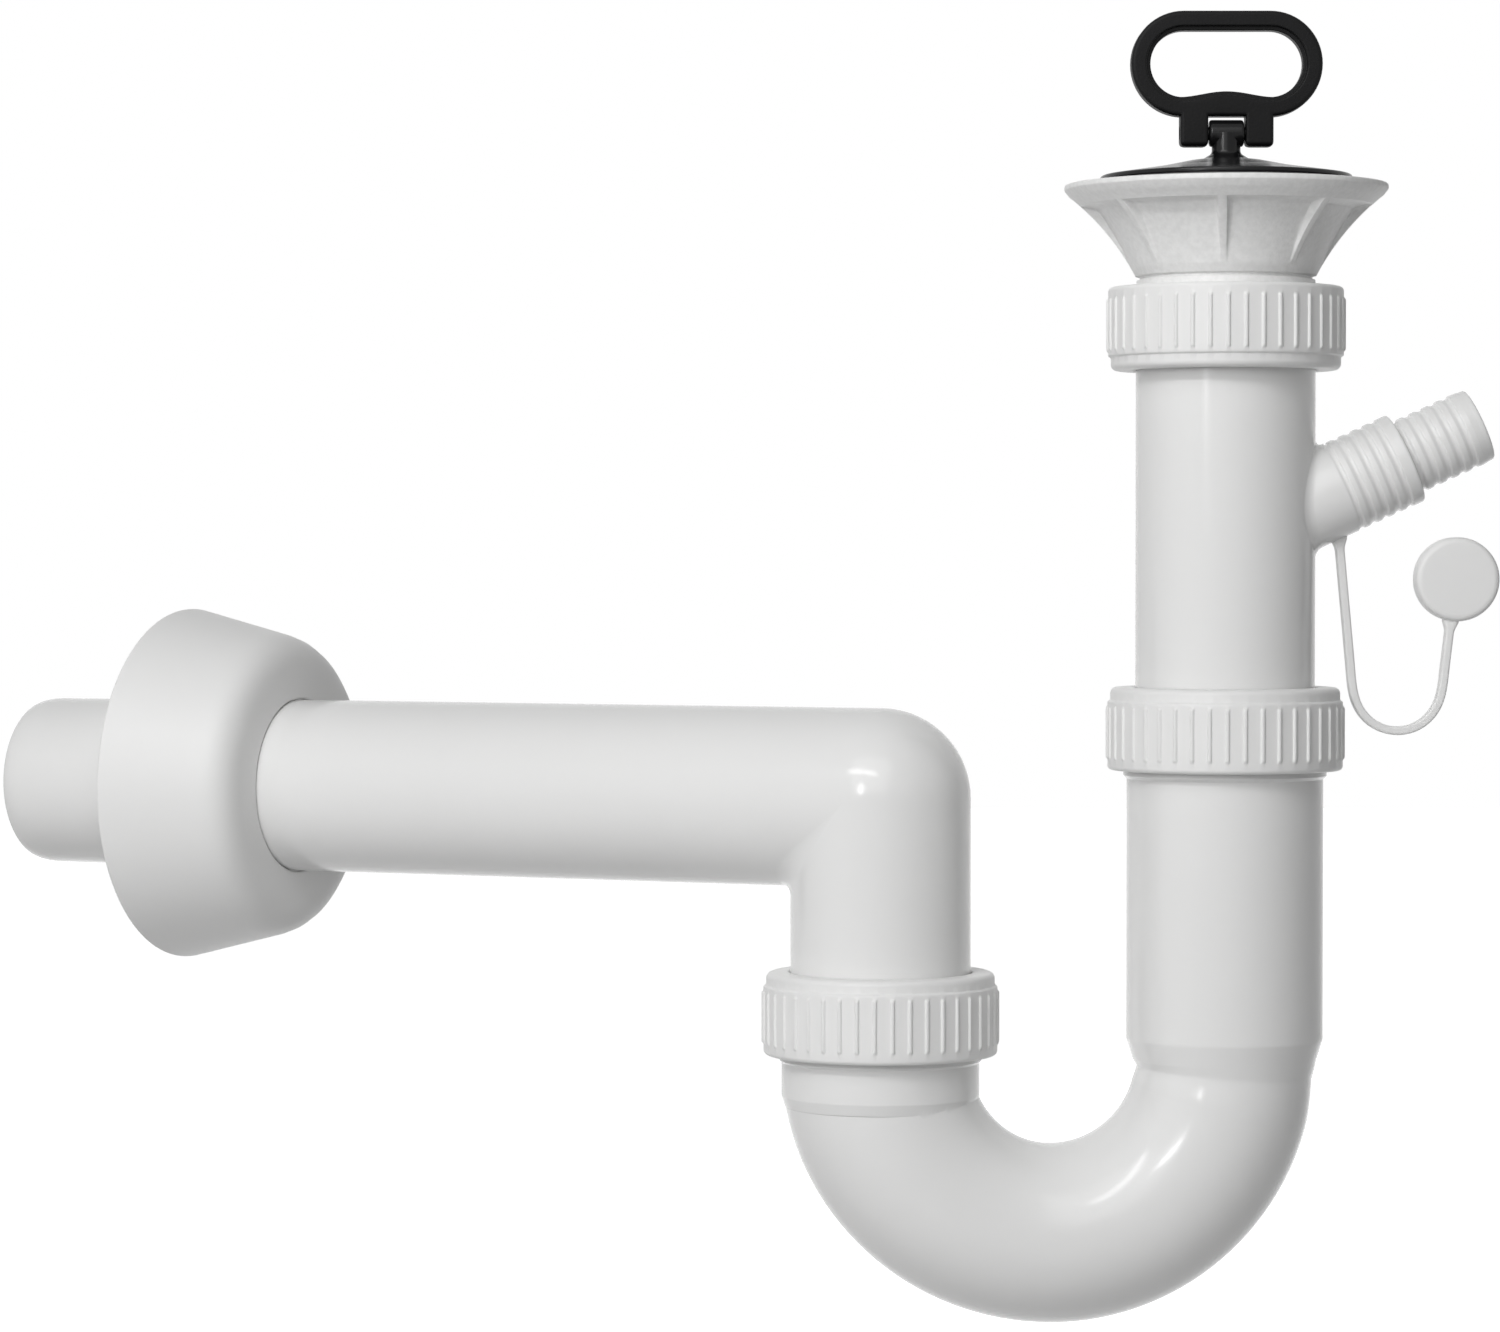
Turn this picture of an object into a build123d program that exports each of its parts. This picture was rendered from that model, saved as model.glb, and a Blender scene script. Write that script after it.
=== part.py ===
# Sink waste and pipe trap for 40 mm pipe: strainer waste with plug, tailpiece with a hose branch,
# U-bend, and an outlet elbow with a wall rosette. Millimetres, +Z up. The origin is on the waste axis
# at the top of the funnel rim; the hose branch points to +X and the trap bends away to -X.
import math
import os

from build123d import *

os.makedirs("parts", exist_ok=True)

# Pipe and fits
pipe_radius = 20.0
pipe_wall = 2.0
running_clearance = 0.05
free_clearance = 0.3
seat_gap = 0.1
pipe_bore = pipe_radius - pipe_wall

# Slip nut, three alike
nut_height = 18.5
nut_radius = 26.2
nut_rib_height = 0.5
nut_rib_width = 0.9
nut_rib_count = 42
nut_band_radius = 25.6
nut_band_height = 3.0
nut_band_round = 1.4
nut_floor = 3.0
nut_skirt = 1.6
thread_radius = 23.5
nut_bore = thread_radius + free_clearance
nut_hole = 20.5

# Waste funnel
rim_radius = 36.0
rim_edge = 1.6
funnel_waist = (27.4, -9.6)
funnel_foot = (20.1, -20.3)
pocket_top = (28.9, -5.0)
pocket_waist = (24.4, -11.5)
pocket_foot = (21.1, -18.5)
gusset_count = 8
gusset_thickness = 1.5
gusset_turn = -97.0
neck_radius = 19.9
neck_end = -23.9
spigot_end = -33.8
waste_bore = 17.5
dish_recess_radius = 33.3
funnel_throat = ((30.2, -1.8), (26.8, -5.0), (22.6, -11.5), (waste_bore, -18.5))
hub_radius = 6.0
hub_end = -22.0
spoke_top = -14.0
spoke_thickness = 2.4
spoke_reach = 21.0

# Strainer dish, its gasket and screw
dish_sheet = 0.8
dish_radius = 33.0
dish_mouth = 29.5
dish_floor_radius = 19.0
dish_floor = -9.0
gasket_thickness = 1.0
screw_radius = 2.5
screw_head_radius = 4.6
screw_head_height = 2.2
screw_end = -17.5
insert_radius = 3.6
insert_top = -10.6
insert_end = -18.2
strainer_hole = 1.9
strainer_ring_radii = (9.0, 14.6)
strainer_ring_counts = (8, 12)

# Plug and handle
plug_radius = 28.0
plug_edge_bottom = 0.9
plug_edge_top = 2.0
plug_shoulder = (15.0, 4.0)
plug_crown = (8.3, 5.4)
plug_skirt_radius = 21.0
plug_skirt_bottom = -5.5
plug_lip_radius = 22.2
plug_lip_top = -4.2
plug_skirt_wall = 2.2
plug_hollow_top = -0.8
plug_seal_edge = -1.3
stem_radius = 3.2
stem_foot_radius = 5.2
stem_foot_top = 5.8
stem_flare_top = 7.0
pivot_height = 11.5
head_radius = 3.0
head_length = 7.7
trunnion_radius = 1.5
trunnion_reach = 9.0
handle_length = 42.7
handle_height = 23.5
handle_bar = 5.0
handle_depth = 5.2
handle_centre = 26.9
handle_swell = 1.4
handle_ledge = 1.1
lug_inner = 4.15
lug_outer = 10.4
lug_height = 6.0

# Tailpiece and hose branch
collar_radius = 23.2
collar_thickness = 2.5
washer_thickness = 2.0
branch_height = -79.1
branch_tilt = 24.5
branch_radius = 10.5
branch_bore = 6.2
thick_ring_start = 26.4
thick_ring_pitch = 2.95
thick_ring_count = 6
thin_ring_radius = 8.6
step_end = 44.4
thin_ring_start = 45.6
thin_ring_pitch = 3.1
thin_ring_count = 5
ring_land = 0.5
ring_fall = 0.22
ring_depth = 0.9
branch_end = 62.2
branch_tip_radius = 7.2

# Hose cap on its strap
cap_radius = 9.4
cap_bore = thin_ring_radius + running_clearance
cap_depth = 6.0
cap_face = 1.6
cap_centre = (51.7, -87.9)
strap_thickness = 2.2
strap_width = 3.6
strap_root = (25.0, -75.2)
strap_left = (28.3, -110.8)
strap_bottom = (38.4, -122.3)
strap_right = (48.7, -110.8)
strap_cap = (50.6, -95.2)

# U-bend
bend_radius = 39.0
bend_height = -195.3
outlet_inset = 1.0
inlet_rim = -117.5
inlet_socket = 21.9
outlet_socket = 22.4
thread_length = 14.0
inlet_shoulder = 4.4
inlet_taper = 9.1
inlet_taper_radius = 19.6
inlet_bore_floor = 5.8
tail_clearance = 2.5
outlet_rise = 14.1
outlet_socket_length = 24.8
outlet_socket_floor = 3.0
mouth_radius = 22.6
mouth_depth = 3.5
seal_flange = 2.5
seal_flange_radius = 23.3
leg_spacing = 2 * bend_radius - outlet_inset
inlet_socket_end = bend_height + inlet_shoulder
inlet_taper_end = inlet_socket_end - inlet_taper
inlet_bore_end = bend_height + inlet_bore_floor
tail_end = inlet_bore_end + tail_clearance
outlet_rim = bend_height + outlet_rise
outlet_socket_end = outlet_rim - outlet_socket_length
outlet_bore_end = outlet_socket_end + outlet_socket_floor

# Outlet pipe and rosette
outlet_radius = 20.2
outlet_riser = 44.3
outlet_foot_clearance = 3.0
outlet_swing = 25.0
outlet_length = 221.0
wall_spigot_length = 40.0
wall_spigot_radius = 19.8
wall_spigot_chamfer = (4.0, 1.0)
rosette_stand = 41.0
rosette_depth = 30.0
rosette_front_radius = 35.5
rosette_rim_radius = 41.7
rosette_round = 5.0
rosette_dome = 1.2
rosette_wall = 1.8
rosette_hole = outlet_radius + free_clearance
outlet_height = outlet_rim + outlet_riser
outlet_foot = outlet_bore_end + outlet_foot_clearance
wall_spigot_start = outlet_length - wall_spigot_length
rosette_back = outlet_length - rosette_stand
rosette_front = rosette_back - rosette_depth


def axis_plane(origin, along):
    """A plane through a turning axis in the XZ plane: local x is the radius, local y runs along it."""
    direction = Vector(*along).normalized()
    return Plane(origin=origin, x_dir=(direction.Z, direction.Y, -direction.X), z_dir=(0, -1, 0))


upright = Plane.XZ
outlet_axis = axis_plane((-leg_spacing, 0, 0), (0, 0, 1))
branch_axis = axis_plane(
    (0, 0, branch_height),
    (math.cos(math.radians(branch_tilt)), 0, math.sin(math.radians(branch_tilt))),
)
swing = math.radians(outlet_swing)
run_direction = (-math.cos(swing), math.sin(swing), 0)
run_axis = Plane(
    origin=(-leg_spacing, 0, outlet_height),
    x_dir=(0, 0, 1),
    z_dir=Vector(0, 0, 1).cross(Vector(*run_direction)),
)


def turned(corners, plane=upright):
    """A solid turned about the plane's local y axis from (radius, height) corners."""
    with BuildPart() as blank:
        with BuildSketch(plane):
            with BuildLine():
                Polyline(*corners, close=True)
            make_face()
        revolve(axis=Axis(plane.origin, plane.y_dir))
    return blank.part


def rod(radius, start, end, plane=upright):
    """A round bar between two heights on the plane's axis."""
    return turned(((0, start), (radius, start), (radius, end), (0, end)), plane)


def ring(inner, outer, start, end, plane=upright):
    """A plain ring between two heights on the plane's axis."""
    return turned(((inner, start), (outer, start), (outer, end), (inner, end)), plane)


def slip_nut(closed_face):
    """Ribbed union nut whose closed end lies on the given plane and whose thread opens along its normal."""
    with BuildPart() as nut:
        with BuildSketch(Plane.XZ):
            with BuildLine():
                Line((nut_hole, 0), (nut_band_radius - nut_band_round, 0))
                RadiusArc(
                    (nut_band_radius - nut_band_round, 0),
                    (nut_band_radius, nut_band_round),
                    -nut_band_round,
                )
                Polyline(
                    (nut_band_radius, nut_band_round),
                    (nut_band_radius, nut_band_height),
                    (nut_radius, nut_band_height),
                    (nut_radius, nut_height),
                    (nut_bore, nut_height),
                    (nut_bore, nut_floor),
                    (nut_hole, nut_floor),
                    (nut_hole, 0),
                )
            make_face()
        revolve(axis=Axis.Z)
        with BuildSketch(Plane.XY.offset(nut_band_height)):
            with PolarLocations(nut_radius, nut_rib_count):
                Rectangle(2 * nut_rib_height, nut_rib_width)
        extrude(amount=nut_height - nut_band_height - nut_skirt)
    return closed_face.location * nut.part


def cone_seal(rim, plane, pipe):
    """Slip-joint ring: a flange under the nut's floor and a cone in the chamfered mouth below it."""
    cone_end = rim - mouth_depth + seat_gap
    return turned(
        (
            (pipe + running_clearance, rim + seal_flange - seat_gap),
            (seal_flange_radius, rim + seal_flange - seat_gap),
            (seal_flange_radius, rim + seat_gap),
            (mouth_radius - seat_gap, rim + seat_gap),
            (pipe + free_clearance, cone_end),
            (pipe + running_clearance, cone_end),
        ),
        plane,
    )


def export(piece, name):
    """Label a finished piece and write its file."""
    piece.part.label = name
    export_step(piece.part, f"parts/{name}.step")


# Funnel: trumpet with gussets, threaded spigot, and a spoked hub for the clamping screw
with BuildPart() as trumpet:
    with BuildSketch(upright):
        with BuildLine():
            Polyline((0, 0), (rim_radius, 0), (rim_radius, -rim_edge))
            ThreePointArc((rim_radius, -rim_edge), funnel_waist, funnel_foot)
            Polyline(
                funnel_foot,
                (neck_radius, funnel_foot[1]),
                (neck_radius, neck_end),
                (0, neck_end),
                (0, 0),
            )
        make_face()
    revolve(axis=Axis.Z)

with BuildPart() as gussets:
    add(trumpet.part)
    with BuildSketch(Plane.XY.offset(pocket_foot[1])):
        with PolarLocations(rim_radius / 2, gusset_count, start_angle=gusset_turn):
            Rectangle(rim_radius, gusset_thickness)
    extrude(amount=pocket_top[1] - pocket_foot[1], mode=Mode.INTERSECT)

with BuildPart() as waste_body:
    add(trumpet.part)
    with BuildSketch(upright):
        with BuildLine():
            ThreePointArc(pocket_top, pocket_waist, pocket_foot)
            Polyline(pocket_foot, (rim_radius, pocket_foot[1]), (rim_radius, pocket_top[1]), pocket_top)
        make_face()
    revolve(axis=Axis.Z, mode=Mode.SUBTRACT)
    add(gussets.part)
    add(rod(thread_radius, spigot_end, neck_end))
    add(rod(dish_recess_radius, funnel_throat[0][1], 0), mode=Mode.SUBTRACT)
    add(
        turned(((0, funnel_throat[0][1]), *funnel_throat, (waste_bore, spigot_end), (0, spigot_end))),
        mode=Mode.SUBTRACT,
    )
    with BuildSketch(Plane.XY.offset(hub_end)):
        with PolarLocations(spoke_reach / 2, 3):
            Rectangle(spoke_reach, spoke_thickness)
    extrude(amount=spoke_top - hub_end)
    add(rod(hub_radius, hub_end, dish_floor - dish_sheet))
    add(rod(insert_radius, insert_end, dish_floor - dish_sheet), mode=Mode.SUBTRACT)
export(waste_body, "waste_body")

with BuildPart() as screw_insert:
    add(ring(screw_radius + running_clearance, insert_radius, insert_end, insert_top))
export(screw_insert, "screw_insert")

with BuildPart() as sink_gasket:
    add(
        ring(
            funnel_throat[0][0],
            dish_radius,
            funnel_throat[0][1],
            funnel_throat[0][1] + gasket_thickness,
        )
    )
export(sink_gasket, "sink_gasket")

# Pressed dish with a perforated floor
with BuildPart() as strainer_dish:
    add(
        turned(
            (
                (dish_radius, 0),
                (dish_mouth, 0),
                (dish_floor_radius, dish_floor),
                (0, dish_floor),
                (0, dish_floor - dish_sheet),
                (dish_floor_radius + dish_sheet / 2, dish_floor - dish_sheet),
                (dish_mouth + dish_sheet / 4, -dish_sheet),
                (dish_radius, -dish_sheet),
            )
        )
    )
    with BuildSketch(Plane.XY.offset(dish_floor)):
        Circle(screw_radius + free_clearance)
        for ring_radius, hole_count in zip(strainer_ring_radii, strainer_ring_counts):
            with PolarLocations(ring_radius, hole_count):
                Circle(strainer_hole)
    extrude(amount=-2 * dish_sheet, mode=Mode.SUBTRACT)
export(strainer_dish, "strainer_dish")

with BuildPart() as strainer_screw:
    add(rod(screw_radius, screw_end, dish_floor))
    add(rod(screw_head_radius, dish_floor, dish_floor + screw_head_height))
    fillet(strainer_screw.edges().sort_by(Axis.Z)[-1], screw_head_height / 2)
    with BuildSketch(Plane.XY.offset(dish_floor + screw_head_height)):
        Rectangle(2 * screw_head_radius, screw_head_height / 2)
    extrude(amount=-screw_head_height / 2, mode=Mode.SUBTRACT)
export(strainer_screw, "strainer_screw")

# Plug: domed disc, hollow skirt that carries the seal, and a stem with a trunnion head
with BuildPart() as plug:
    with BuildSketch(upright):
        with BuildLine():
            Polyline(
                (0, plug_skirt_bottom),
                (plug_lip_radius, plug_skirt_bottom),
                (plug_lip_radius, plug_lip_top),
                (plug_skirt_radius, plug_lip_top),
                (plug_skirt_radius, plug_edge_bottom),
                (plug_radius, plug_edge_bottom),
                (plug_radius, plug_edge_top),
                plug_shoulder,
                plug_crown,
                (stem_foot_radius, stem_foot_top),
                (stem_radius, stem_flare_top),
                (stem_radius, pivot_height),
                (0, pivot_height),
                (0, plug_skirt_bottom),
            )
        make_face()
    revolve(axis=Axis.Z)
    add(
        rod(plug_skirt_radius - plug_skirt_wall, plug_skirt_bottom, plug_hollow_top),
        mode=Mode.SUBTRACT,
    )
    with BuildSketch(Plane.YZ.offset(-head_length / 2)):
        with Locations((0, pivot_height)):
            Circle(head_radius)
    extrude(amount=head_length)
    with BuildSketch(Plane.YZ.offset(-trunnion_reach)):
        with Locations((0, pivot_height)):
            Circle(trunnion_radius)
    extrude(amount=2 * trunnion_reach)
export(plug, "plug")

dish_slope = (dish_mouth - dish_floor_radius) / -dish_floor
seal_top_radius = dish_mouth + dish_slope * plug_seal_edge - 2 * seat_gap
seal_low_radius = dish_mouth + dish_slope * plug_lip_top - 2 * seat_gap
with BuildPart() as plug_seal:
    add(
        turned(
            (
                (plug_skirt_radius, plug_edge_bottom),
                (seal_top_radius, plug_edge_bottom),
                (seal_top_radius, plug_seal_edge),
                (seal_low_radius, plug_lip_top),
                (plug_skirt_radius, plug_lip_top),
            )
        )
    )
export(plug_seal, "plug_seal")

# Pull handle: stadium loop with a stepped inner edge, and two lugs on the trunnions
with BuildPart() as plug_handle:
    with BuildSketch(Plane.XZ.offset(-handle_depth / 2)):
        with Locations((0, handle_centre)):
            SlotOverall(handle_length, handle_height)
            SlotOverall(handle_length - 2 * handle_bar, handle_height - 2 * handle_bar, mode=Mode.SUBTRACT)
        with Locations((0, handle_centre - handle_height / 2 + handle_bar)):
            Ellipse(handle_length / 4, handle_swell)
    extrude(amount=handle_depth)
    with BuildSketch(Plane.XZ.offset(handle_depth / 2 - handle_ledge)):
        with Locations((0, handle_centre)):
            SlotOverall(
                handle_length - 2 * handle_bar + 2 * handle_ledge,
                handle_height - 2 * handle_bar + 2 * handle_ledge,
            )
        with Locations((0, handle_centre - handle_height / 2 + handle_bar - handle_ledge)):
            Ellipse(handle_length / 4, handle_swell, mode=Mode.SUBTRACT)
    extrude(amount=handle_ledge, mode=Mode.SUBTRACT)
    lug_middle = (lug_inner + lug_outer) / 2
    lug_top = handle_centre - handle_height / 2 + handle_bar / 2
    lug_bottom = pivot_height - lug_height / 2
    with BuildSketch(Plane.XZ.offset(-handle_depth / 2)):
        with Locations((-lug_middle, (lug_top + lug_bottom) / 2), (lug_middle, (lug_top + lug_bottom) / 2)):
            Rectangle(lug_outer - lug_inner, lug_top - lug_bottom)
    extrude(amount=handle_depth)
    with BuildSketch(Plane.YZ.offset(-lug_outer)):
        with Locations((0, pivot_height)):
            Circle(trunnion_radius + running_clearance)
    extrude(amount=2 * lug_outer, mode=Mode.SUBTRACT)
export(plug_handle, "plug_handle")

# Joint under the funnel: washer, tailpiece collar and a nut whose closed end faces down
collar_top = spigot_end - washer_thickness
collar_bottom = collar_top - collar_thickness
with BuildPart() as top_gasket:
    add(ring(pipe_bore, collar_radius, collar_top, spigot_end))
export(top_gasket, "top_gasket")

with BuildPart() as top_nut:
    add(slip_nut(Plane((0, 0, collar_bottom - nut_floor))))
export(top_nut, "top_nut")


def hose_rings(radius, start, pitch, count):
    """Profile corners of a row of hose rings: a flat land, a fall to the groove, and a square back."""
    corners = []
    for number in range(count):
        foot = start + number * pitch
        corners.append((radius, foot))
        corners.append((radius, foot + ring_land * pitch))
        corners.append((radius - ring_depth, foot + (ring_land + ring_fall) * pitch))
        corners.append((radius - ring_depth, foot + pitch))
    return corners


with BuildPart() as tailpiece:
    add(rod(pipe_radius, tail_end, collar_bottom))
    add(rod(collar_radius, collar_bottom, collar_top))
    add(
        turned(
            (
                (0, 0),
                (branch_radius, 0),
                *hose_rings(branch_radius, thick_ring_start, thick_ring_pitch, thick_ring_count),
                (thin_ring_radius - ring_depth, step_end),
                *hose_rings(thin_ring_radius, thin_ring_start, thin_ring_pitch, thin_ring_count)[:-1],
                (branch_tip_radius, branch_end),
                (0, branch_end),
            ),
            branch_axis,
        )
    )
    add(rod(pipe_bore, tail_end, collar_top), mode=Mode.SUBTRACT)
    add(rod(branch_bore, 0, branch_end, branch_axis), mode=Mode.SUBTRACT)
export(tailpiece, "tailpiece")

# Cap on its strap, seated on the underside of the branch
with BuildPart() as hose_cap:
    with BuildSketch(Plane.XZ.offset(-strap_width / 2)):
        with BuildLine():
            Line(strap_root, strap_left)
            ThreePointArc(strap_left, strap_bottom, strap_right)
            Line(strap_right, strap_cap)
        trace(line_width=strap_thickness)
    extrude(amount=strap_width)
    with BuildSketch(Plane.XZ.offset(-cap_depth / 2)):
        with Locations(cap_centre):
            Circle(cap_radius)
    extrude(amount=cap_depth)
    fillet(
        hose_cap.edges().filter_by(GeomType.CIRCLE).group_by(Axis.Y)[0].sort_by(SortBy.LENGTH)[-1],
        cap_face / 2,
    )
    with BuildSketch(Plane.XZ.offset(-cap_depth / 2)):
        with Locations(cap_centre):
            Circle(cap_bore)
    extrude(amount=cap_depth - cap_face, mode=Mode.SUBTRACT)
    add(rod(branch_radius, 0, thick_ring_start + thick_ring_pitch, branch_axis), mode=Mode.SUBTRACT)
export(hose_cap, "hose_cap")

# U-bend: long socket on the waste axis, half-round bend, short socket on the outlet axis
with BuildPart() as u_bend:
    add(rod(inlet_socket, inlet_socket_end, inlet_rim))
    add(rod(thread_radius, inlet_rim - thread_length, inlet_rim))
    add(
        turned(
            (
                (0, inlet_socket_end),
                (inlet_socket, inlet_socket_end),
                (inlet_taper_radius, inlet_taper_end),
                (0, inlet_taper_end),
            )
        )
    )
    add(rod(outlet_socket, outlet_socket_end, outlet_rim, outlet_axis))
    add(rod(thread_radius, outlet_rim - thread_length, outlet_rim, outlet_axis))
    with BuildSketch(Plane.XY.offset(bend_height)):
        Circle(pipe_radius)
    revolve(axis=Axis((-bend_radius, 0, bend_height), (0, 1, 0)), revolution_arc=180)
    with BuildSketch(Plane.XY.offset(bend_height)):
        Circle(pipe_bore)
    revolve(
        axis=Axis((-bend_radius, 0, bend_height), (0, 1, 0)),
        revolution_arc=180,
        mode=Mode.SUBTRACT,
    )
    inlet_bore = pipe_radius + free_clearance
    add(
        turned(
            (
                (0, inlet_rim),
                (mouth_radius, inlet_rim),
                (inlet_bore, inlet_rim - mouth_depth),
                (inlet_bore, inlet_bore_end),
                (pipe_bore, bend_height),
                (0, bend_height),
            )
        ),
        mode=Mode.SUBTRACT,
    )
    outlet_bore = outlet_radius + free_clearance
    add(
        turned(
            (
                (0, outlet_rim),
                (mouth_radius, outlet_rim),
                (outlet_bore, outlet_rim - mouth_depth),
                (outlet_bore, outlet_bore_end),
                (0, outlet_bore_end),
            ),
            outlet_axis,
        ),
        mode=Mode.SUBTRACT,
    )
export(u_bend, "u_bend")

# Slip joints on the two legs: conical seal under a nut whose closed end faces up
with BuildPart() as middle_seal:
    add(cone_seal(inlet_rim, upright, pipe_radius))
export(middle_seal, "middle_seal")

with BuildPart() as middle_nut:
    add(slip_nut(Plane((0, 0, inlet_rim + seal_flange + nut_floor), z_dir=(0, 0, -1))))
export(middle_nut, "middle_nut")

with BuildPart() as outlet_seal:
    add(cone_seal(outlet_rim, outlet_axis, outlet_radius))
export(outlet_seal, "outlet_seal")

with BuildPart() as outlet_nut:
    add(slip_nut(Plane((-leg_spacing, 0, outlet_rim + seal_flange + nut_floor), z_dir=(0, 0, -1))))
export(outlet_nut, "outlet_nut")

# Outlet: foot in the short socket, ball-cornered elbow, long run with a spigot for the wall socket
with BuildPart() as outlet_pipe:
    add(rod(outlet_radius, outlet_foot, outlet_height, outlet_axis))
    with Locations((-leg_spacing, 0, outlet_height)):
        Sphere(outlet_radius)
    add(rod(outlet_radius, 0, wall_spigot_start, run_axis))
    add(
        turned(
            (
                (0, 0),
                (wall_spigot_radius, 0),
                (wall_spigot_radius, outlet_length - wall_spigot_chamfer[0]),
                (wall_spigot_radius - wall_spigot_chamfer[1], outlet_length),
                (0, outlet_length),
            ),
            run_axis,
        )
    )
    add(rod(pipe_bore, outlet_foot, outlet_height, outlet_axis), mode=Mode.SUBTRACT)
    with Locations((-leg_spacing, 0, outlet_height)):
        Sphere(pipe_bore, mode=Mode.SUBTRACT)
    add(rod(pipe_bore, 0, outlet_length, run_axis), mode=Mode.SUBTRACT)
export(outlet_pipe, "outlet_pipe")


def rosette_shape(inset):
    """Cup profile of the rosette, moved inwards by the given amount."""
    with BuildPart() as cup:
        with BuildSketch(run_axis):
            with BuildLine():
                front = rosette_front + inset
                edge = rosette_front_radius - inset
                corner = rosette_round - inset
                Polyline((0, rosette_back), (0, front - rosette_dome))
                Line((0, front - rosette_dome), (edge - corner, front))
                RadiusArc((edge - corner, front), (edge, front + corner), -corner)
                Polyline(
                    (edge, front + corner),
                    (rosette_rim_radius - inset, rosette_back),
                    (0, rosette_back),
                )
            make_face()
        revolve(axis=Axis(run_axis.origin, run_axis.y_dir))
    return cup.part


with BuildPart() as wall_rosette:
    add(rosette_shape(0))
    add(rosette_shape(rosette_wall), mode=Mode.SUBTRACT)
    add(rod(rosette_hole, 0, rosette_back, run_axis), mode=Mode.SUBTRACT)
export(wall_rosette, "wall_rosette")
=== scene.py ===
"""Studio picture of a sink waste and pipe trap: moulded white pipes, ribbed nuts, black plug."""

import math

import bmesh
import bpy
from mathutils import Matrix, Vector


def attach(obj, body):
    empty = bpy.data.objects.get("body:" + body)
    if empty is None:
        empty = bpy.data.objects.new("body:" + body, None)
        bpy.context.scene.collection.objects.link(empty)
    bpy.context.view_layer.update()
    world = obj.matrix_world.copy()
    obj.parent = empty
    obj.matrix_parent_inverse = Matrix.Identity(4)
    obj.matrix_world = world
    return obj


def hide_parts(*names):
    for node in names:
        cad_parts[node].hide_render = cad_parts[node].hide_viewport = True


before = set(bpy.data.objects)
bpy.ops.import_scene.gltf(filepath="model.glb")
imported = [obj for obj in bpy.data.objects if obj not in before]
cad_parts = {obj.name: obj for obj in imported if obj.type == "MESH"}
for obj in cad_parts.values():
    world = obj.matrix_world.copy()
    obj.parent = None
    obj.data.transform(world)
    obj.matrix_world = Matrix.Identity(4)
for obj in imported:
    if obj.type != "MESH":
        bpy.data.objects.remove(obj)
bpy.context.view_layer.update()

MM = 0.001
AROUND = 128  # points round a pipe
ROUND_STEPS = 5  # steps in a rounded corner
EDGE_SHARE = 0.48  # most of an edge that one rounded corner takes
SHARP = math.radians(38)  # edges with a larger angle stay crisp
SAME_POINT, WELD, SLIVER = 1e-7, 2e-6, 1e-6  # mesh clean-up, in metres

# Sizes and places in millimetres, in the part's frame
PIPE, BORE, RUN_PIPE = 20.0, 18.0, 20.2
LEG_X = -77.0
THREAD_ROOT, THREAD_PITCH, THREAD_TURNS = 22.65, 3.0, 3.6
NUT_HEIGHT, NUT_RADIUS, NUT_RIBS, NUT_RIB_HEIGHT = 18.5, 26.2, 42, 0.45
NUT_BAND, NUT_HOLE, NUT_BORE, NUT_FLOOR = 25.6, 20.5, 23.8, 3.0
NUT_FACE_ROUND, NUT_EDGE_ROUND, NUT_ROUND_STEPS = 1.4, 1.0, 6
TOP_NUT, MIDDLE_NUT, OUTLET_NUT = -41.3, -112.0, -175.7
BEND_RADIUS, BEND_HEIGHT = 39.0, -195.3
INLET_RIM, OUTLET_RIM, CONE_TOP = -117.5, -181.2, -190.6
LEG_OUTSIDE, LEG_INSIDE, SOCKET_INSIDE = 21.9, 20.3, 20.5
ELBOW = Vector((LEG_X, 0, -136.9))
SWING = math.radians(25)
RUN = Vector((-math.cos(SWING), math.sin(SWING), 0))
RUN_LENGTH, FOOT_LENGTH = 221.0, 63.1
BRANCH_HEIGHT, BRANCH_TILT = -79.1, math.radians(24.5)
BRANCH_RADIUS, BRANCH_THIN, BRANCH_BORE = 10.5, 8.6, 6.2
STRAP_ROOT, STRAP_CAP = Vector((25.0, -75.2)), Vector((50.6, -95.2))
STRAP_LEFT, STRAP_BOTTOM, STRAP_RIGHT = Vector((28.3, -110.8)), Vector((38.4, -122.3)), Vector((48.7, -110.8))
CAP_CENTRE, CAP_RADIUS, CAP_BORE = Vector((51.7, 0, -87.9)), 9.4, 8.65
RIM_RADIUS = 36.0
GUSSETS, GUSSET_TURN = 8, math.radians(-97)
HUB_RADIUS, HUB_BORE, HUB_TOP, HUB_FOOT, SPOKES = 6.0, 3.65, -9.8, -22.0, 3
PIVOT = 11.5
HANDLE_CENTRE, HANDLE_STRAIGHT, HANDLE_BOW = 26.9, 9.6, 9.25
HANDLE_HALF = 2.6  # half of the handle's thickness


def axis(origin, along):
    """Placement whose local z runs along a direction."""
    turn = Vector(along).to_track_quat("Z", "Y").to_matrix().to_4x4()
    return Matrix.Translation(origin) @ turn


def rounded(corners):
    """Closed outline whose (x, y, radius) corners are rounded; plain (x, y) corners stay as they are."""
    points = []
    for number, corner in enumerate(corners):
        here = Vector(corner[:2])
        if len(corner) == 2:
            points.append(here)
            continue
        back = Vector(corners[number - 1][:2]) - here
        ahead = Vector(corners[(number + 1) % len(corners)][:2]) - here
        reach = corner[2] / math.tan(back.angle(ahead) / 2)
        reach = min(reach, EDGE_SHARE * back.length, EDGE_SHARE * ahead.length)
        start = here + back.normalized() * reach
        end = here + ahead.normalized() * reach
        for step in range(ROUND_STEPS + 1):
            t = step / ROUND_STEPS
            points.append(start * (1 - t) ** 2 + here * 2 * t * (1 - t) + end * t * t)
    return points


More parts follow.
